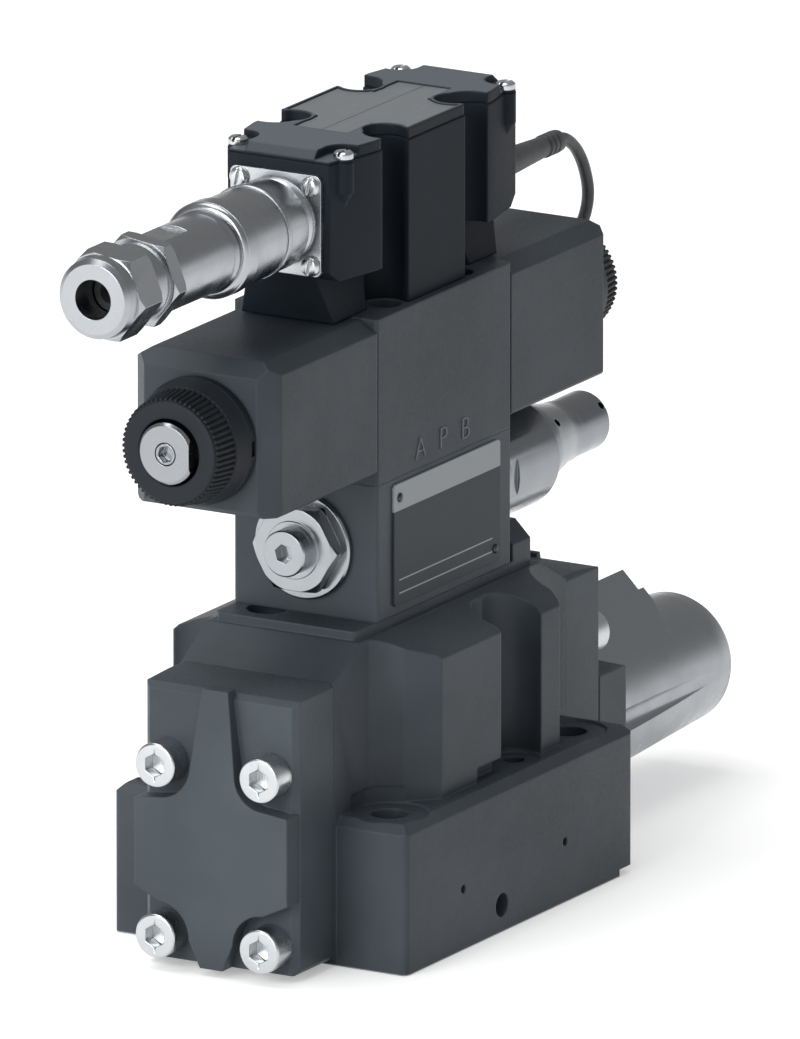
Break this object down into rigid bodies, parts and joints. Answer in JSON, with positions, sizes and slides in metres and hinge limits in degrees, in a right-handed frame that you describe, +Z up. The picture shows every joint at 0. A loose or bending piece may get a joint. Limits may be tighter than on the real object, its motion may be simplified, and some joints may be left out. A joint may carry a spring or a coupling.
{
  "type": "proportional directional valve",
  "caption": "Two-stage proportional directional valve with pilot solenoids, reducing sandwich plate, on-board electronics, cable plug and spool position sensor.",
  "frame": {"origin": "centre of the four main bolt holes, on the mounting face", "axes": "+X across the valve, +Y along the spools towards the position sensor, +Z up, away from the mounting face"},
  "size_m": [0.096, 0.3318, 0.2339],
  "materials": {
    "cast_body": "painted dark grey, satin",
    "cast_pilot": "painted dark grey, satin",
    "bright_steel": "zinc plated, bright",
    "ground_steel": "ground and hardened",
    "spring_steel": "drawn wire",
    "sensor_metal": "satin",
    "plug_metal": "nickel plated, satin",
    "nut_plastic": "moulded black",
    "case_plastic": "moulded blue-black",
    "label_foil": "grey foil",
    "black_steel": "black oxide",
    "copper_coil": "enamelled winding",
    "contact_gold": "gold plated",
    "seal_rubber": "nitrile",
    "cable_rubber": "polyurethane jacket",
    "board_green": "solder mask"
  },
  "bodies": {
    "valve": {"main_body": "cast_body", "front_end_cap": "cast_body", "rear_end_cap": "cast_body", "front_cap_screws": "bright_steel", "rear_cap_screws": "bright_steel", "front_main_spring": "spring_steel", "rear_main_spring": "spring_steel", "port_seals": "seal_rubber", "sensor_housing": "sensor_metal", "sensor_tube": "ground_steel", "sensor_coil": "copper_coil", "sandwich_body": "cast_pilot", "sandwich_plug": "bright_steel", "sandwich_stem": "bright_steel", "rear_cartridge": "bright_steel", "reducer_spring": "spring_steel", "name_plate": "label_foil", "plate_rivets": "black_steel", "pilot_body": "cast_pilot", "front_solenoid_housing": "cast_pilot", "rear_solenoid_housing": "cast_pilot", "front_coil": "copper_coil", "rear_coil": "copper_coil", "front_tube": "bright_steel", "rear_tube": "bright_steel", "front_pilot_spring": "spring_steel", "rear_pilot_spring": "spring_steel", "tube_end_screws": "bright_steel", "pilot_screws": "black_steel", "electronics_housing": "case_plastic", "electronics_cover": "case_plastic", "circuit_board": "board_green", "cover_screws": "bright_steel", "label_plate": "label_foil", "plug_socket": "plug_metal", "socket_screws": "bright_steel", "contact_pins": "contact_gold", "plug_body": "plug_metal", "gland_body": "plug_metal", "gland_seal": "seal_rubber", "sensor_plug": "case_plastic", "sensor_cable": "cable_rubber", "sensor_lower_plug": "case_plastic"},
    "main_spool_group": {"main_spool": "ground_steel", "front_spring_seat": "ground_steel", "rear_spring_seat": "ground_steel", "sensor_core": "ground_steel"},
    "reducer_spool": {"reducer_spool": "ground_steel"},
    "pilot_spool": {"pilot_spool": "ground_steel"},
    "front_armature": {"front_armature": "ground_steel"},
    "rear_armature": {"rear_armature": "ground_steel"},
    "front_coil_nut": {"front_coil_nut": "nut_plastic"},
    "rear_coil_nut": {"rear_coil_nut": "nut_plastic"},
    "coupling_ring": {"coupling_ring": "plug_metal"},
    "gland_nut": {"gland_nut": "plug_metal"}
  },
  "joints": [
    {"name": "main_spool_slide", "type": "slide", "parent": "valve", "child": "main_spool_group", "axis": [0, 1, 0], "range_m": [-0.007, 0.007], "stiffness_N_per_m": 2000, "deforming": ["front_main_spring", "rear_main_spring"]},
    {"name": "reducer_slide", "type": "slide", "parent": "valve", "child": "reducer_spool", "axis": [0, 1, 0], "range_m": [0, 0.002], "stiffness_N_per_m": 800, "deforming": ["reducer_spring"]},
    {"name": "pilot_spool_slide", "type": "slide", "parent": "valve", "child": "pilot_spool", "axis": [0, 1, 0], "range_m": [-0.003, 0.003], "stiffness_N_per_m": 600, "deforming": ["front_pilot_spring", "rear_pilot_spring"]},
    {"name": "front_armature_slide", "type": "slide", "parent": "valve", "child": "front_armature", "axis": [0, 1, 0], "range_m": [-0.003, 0.003]},
    {"name": "rear_armature_slide", "type": "slide", "parent": "valve", "child": "rear_armature", "axis": [0, 1, 0], "range_m": [-0.003, 0.003]},
    {"name": "front_coil_nut_turn", "type": "hinge", "parent": "valve", "child": "front_coil_nut", "pos_m": [0, -0.1, 0.1587], "axis": [0, 1, 0], "continuous": true},
    {"name": "rear_coil_nut_turn", "type": "hinge", "parent": "valve", "child": "rear_coil_nut", "pos_m": [0, 0.1, 0.1587], "axis": [0, 1, 0], "continuous": true},
    {"name": "coupling_ring_turn", "type": "hinge", "parent": "valve", "child": "coupling_ring", "pos_m": [0, -0.06, 0.2126], "axis": [0, 1, 0], "continuous": true},
    {"name": "gland_nut_turn", "type": "hinge", "parent": "valve", "child": "gland_nut", "pos_m": [0, -0.145, 0.2126], "axis": [0, 1, 0], "continuous": true}
  ],
  "couplings": [
    {"joint": "front_armature_slide", "follows": "pilot_spool_slide", "ratio": 1},
    {"joint": "rear_armature_slide", "follows": "pilot_spool_slide", "ratio": 1}
  ]
}
